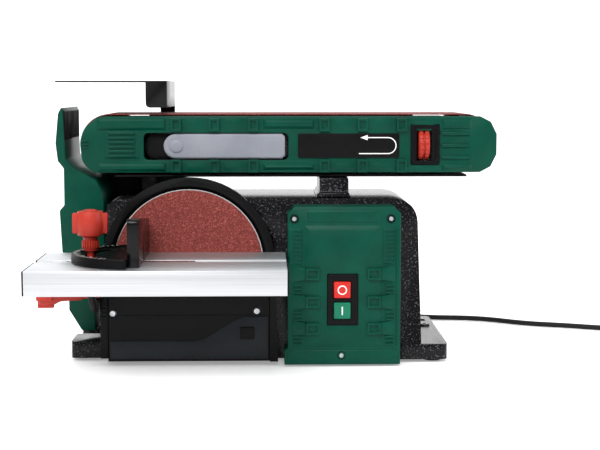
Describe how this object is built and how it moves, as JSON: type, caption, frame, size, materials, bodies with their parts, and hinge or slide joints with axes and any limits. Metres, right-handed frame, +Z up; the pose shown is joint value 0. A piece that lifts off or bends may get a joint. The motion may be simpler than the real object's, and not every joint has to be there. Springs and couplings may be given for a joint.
{
  "type": "belt and disc sander",
  "caption": "Bench sander with a tilting-table abrasive disc below a swing-up belt arm, mitre gauge, dust hood, push-button switch box and mains lead.",
  "frame": {"origin": "bottom centre of the machine's bounding box, without its mains lead", "axes": "+X along the belt arm from its drive drum to its idler drum, +Y away from the operator, +Z up"},
  "size_m": [0.7367, 0.4563, 0.2855],
  "materials": {
    "hammered_black_paint": "hammered black paint over casting",
    "rubber": "matt moulded rubber",
    "green_plastic": "satin moulded ABS",
    "black_plastic": "satin moulded ABS",
    "red_plastic": "semi-gloss moulded plastic",
    "green_button_plastic": "semi-gloss moulded plastic",
    "grey_plastic": "satin painted plastic",
    "extruded_aluminium": "extruded, fine lengthwise lines",
    "machined_aluminium": "turned",
    "machined_steel": "machined, zinc plated",
    "black_sheet_steel": "black powder coat",
    "aluminium_oxide_abrasive": "coated abrasive cloth, grit 80"
  },
  "bodies": {
    "base": {"base_casting": "hammered_black_paint", "foot_pad_1": "rubber", "foot_pad_2": "rubber", "foot_pad_3": "rubber", "foot_pad_4": "rubber", "motor_housing": "machined_steel", "bearing_front": "machined_steel", "bearing_rear": "machined_steel", "disc_guard": "black_plastic", "guard_cover": "black_plastic", "guard_screw_left": "machined_steel", "guard_screw_right": "machined_steel", "switch_cover": "green_plastic", "switch_bezel": "black_plastic", "cover_screw_1": "machined_steel", "cover_screw_2": "machined_steel", "cover_screw_3": "machined_steel", "dust_hood": "green_plastic", "hood_back": "black_plastic", "arm_post": "hammered_black_paint", "drive_belt": "rubber", "drive_cover": "black_plastic", "pivot_bracket": "black_sheet_steel", "cord_gland": "rubber", "cord": "rubber", "cord_tail": "rubber", "cord_coil": "rubber", "cord_tie": "black_plastic", "mains_plug": "rubber"},
    "disc": {"abrasive_disc": "aluminium_oxide_abrasive", "disc_plate": "machined_aluminium", "motor_rotor": "machined_steel", "motor_pulley": "machined_aluminium"},
    "table": {"table_top": "extruded_aluminium", "table_cap_left": "black_plastic", "table_cap_right": "black_plastic", "trunnion_left": "black_plastic", "trunnion_right": "black_plastic"},
    "tilt_knob": {"tilt_knob": "red_plastic"},
    "mitre_slide": {"mitre_bar": "machined_steel", "mitre_pivot": "machined_steel"},
    "mitre_head": {"mitre_head": "black_plastic", "mitre_fence": "black_plastic"},
    "mitre_knob": {"mitre_knob": "red_plastic"},
    "arm": {"arm_frame": "hammered_black_paint", "arm_cover": "green_plastic", "tracking_bezel": "black_plastic", "belt_guard": "black_plastic", "sanding_belt": "aluminium_oxide_abrasive", "tension_spring": "machined_steel", "work_stop": "black_sheet_steel", "stop_bolt": "machined_steel"},
    "drive_drum": {"drive_drum": "rubber", "drum_pulley": "machined_aluminium"},
    "idler_fork": {"idler_fork": "machined_steel"},
    "idler_drum": {"idler_drum": "machined_aluminium"},
    "tension_lever": {"tension_lever": "grey_plastic"},
    "tracking_knob": {"tracking_knob": "red_plastic"},
    "stop_button": {"stop_button": "red_plastic"},
    "start_button": {"start_button": "green_button_plastic"}
  },
  "joints": [
    {"name": "disc_spin", "type": "hinge", "parent": "base", "child": "disc", "pos_m": [-0.08135, -0.0195, 0.1024], "axis": [0, 1, 0], "continuous": true},
    {"name": "table_tilt", "type": "hinge", "parent": "base", "child": "table", "pos_m": [-0.08135, -0.0215, 0.1145], "axis": [1, 0, 0], "range_deg": [0, 45]},
    {"name": "tilt_knob_turn", "type": "hinge", "parent": "base", "child": "tilt_knob", "pos_m": [-0.19135, -0.01446, 0.07005], "axis": [1, 0, 0], "range_deg": [-540, 540]},
    {"name": "mitre_slide", "type": "slide", "parent": "table", "child": "mitre_slide", "axis": [1, 0, 0], "range_m": [-0.025, 0.06]},
    {"name": "mitre_swing", "type": "hinge", "parent": "mitre_slide", "child": "mitre_head", "pos_m": [-0.12635, -0.0885, 0.1145], "axis": [0, 0, 1], "range_deg": [-45, 45]},
    {"name": "mitre_knob_turn", "type": "hinge", "parent": "mitre_slide", "child": "mitre_knob", "pos_m": [-0.17015, -0.0885, 0.14], "axis": [0, 0, 1], "range_deg": [-360, 360]},
    {"name": "arm_pivot", "type": "hinge", "parent": "base", "child": "arm", "pos_m": [-0.16355, 0.0305, 0.2217], "axis": [0, -1, 0], "range_deg": [0, 90]},
    {"name": "drive_drum_spin", "type": "hinge", "parent": "arm", "child": "drive_drum", "pos_m": [-0.16355, 0.0305, 0.2217], "axis": [0, 1, 0], "continuous": true},
    {"name": "idler_slide", "type": "slide", "parent": "arm", "child": "idler_fork", "axis": [-1, 0, 0], "range_m": [0, 0.008]},
    {"name": "idler_drum_spin", "type": "hinge", "parent": "idler_fork", "child": "idler_drum", "pos_m": [0.20125, 0.0305, 0.2217], "axis": [0, 1, 0], "continuous": true},
    {"name": "tension_lever_swing", "type": "hinge", "parent": "arm", "child": "tension_lever", "pos_m": [0.00945, 0.0205, 0.2217], "axis": [0, 0, 1], "range_deg": [0, 90]},
    {"name": "tracking_knob_turn", "type": "hinge", "parent": "arm", "child": "tracking_knob", "pos_m": [0.15845, 0.0275, 0.2205], "axis": [1, 0, 0], "range_deg": [-720, 720]},
    {"name": "stop_button_press", "type": "slide", "parent": "base", "child": "stop_button", "axis": [0, 1, 0], "range_m": [0, 0.0025], "stiffness_N_per_m": 800, "springref_m": -0.001},
    {"name": "start_button_press", "type": "slide", "parent": "base", "child": "start_button", "axis": [0, 1, 0], "range_m": [0, 0.0025], "stiffness_N_per_m": 800, "springref_m": -0.001}
  ],
  "couplings": [
    {"joint": "drive_drum_spin", "follows": "disc_spin", "ratio": 1.9643},
    {"joint": "idler_drum_spin", "follows": "disc_spin", "ratio": 1.9643},
    {"joint": "idler_slide", "follows": "tension_lever_swing", "m_per_rad": 0.005093}
  ]
}
